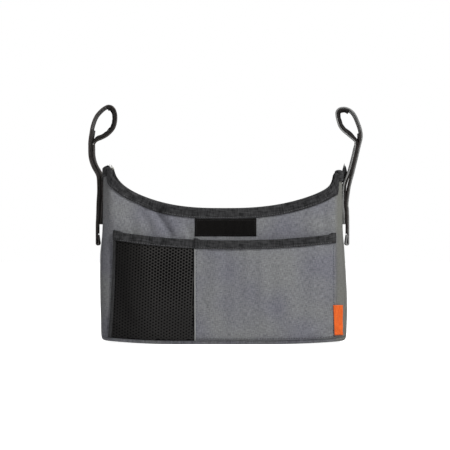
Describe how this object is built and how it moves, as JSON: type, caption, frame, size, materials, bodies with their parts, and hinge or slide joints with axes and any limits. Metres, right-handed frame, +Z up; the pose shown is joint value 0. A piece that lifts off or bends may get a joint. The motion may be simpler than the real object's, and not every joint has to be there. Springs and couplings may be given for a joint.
{
  "type": "stroller organizer",
  "caption": "Padded open bag with a dipped bound mouth, grey and net front pockets, and hook-and-loop straps closed into loops for a stroller's handle.",
  "frame": {"origin": "on the floor under the middle of the bag's base", "axes": "+X to the viewer's right, +Y from the front pockets to the back, +Z up"},
  "size_m": [0.3751, 0.1375, 0.3234],
  "materials": {
    "grey_woven_polyester": "heather woven polyester, coated on the back",
    "padding_foam": "closed-cell foam sheet",
    "grey_lining_cloth": "plain woven lining",
    "stiffening_board": "smooth sheet",
    "black_binding_tape": "ribbed folded tape",
    "black_backing_cloth": "plain woven cloth behind the net",
    "black_polyester_net": "knitted net",
    "black_loop_pile": "matte loop pile",
    "black_hook_tape": "fine hooks on woven tape",
    "black_webbing": "woven strap",
    "orange_ribbon": "plain woven ribbon"
  },
  "bodies": {
    "root": {"front_panel": "grey_woven_polyester", "back_panel": "grey_woven_polyester", "left_side_panel": "grey_woven_polyester", "right_side_panel": "grey_woven_polyester", "base_panel": "grey_woven_polyester", "grey_pocket": "grey_woven_polyester", "front_foam": "padding_foam", "back_foam": "padding_foam", "left_side_foam": "padding_foam", "right_side_foam": "padding_foam", "lining_walls": "grey_lining_cloth", "lining_floor": "grey_lining_cloth", "left_divider": "grey_lining_cloth", "right_divider": "grey_lining_cloth", "base_board": "stiffening_board", "front_rim_binding": "black_binding_tape", "back_rim_binding": "black_binding_tape", "left_rim_binding": "black_binding_tape", "right_rim_binding": "black_binding_tape", "grey_pocket_binding": "black_binding_tape", "net_pocket_binding": "black_binding_tape", "net_pocket_trim": "black_binding_tape", "net_pocket_backing": "black_backing_cloth", "net_pocket": "black_polyester_net", "front_patch": "black_loop_pile", "left_strap_loop_tape": "black_loop_pile", "right_strap_loop_tape": "black_loop_pile", "left_strap_hook_tape": "black_hook_tape", "right_strap_hook_tape": "black_hook_tape", "left_strap": "black_webbing", "right_strap": "black_webbing", "side_tag": "orange_ribbon"}
  },
  "joints": []
}
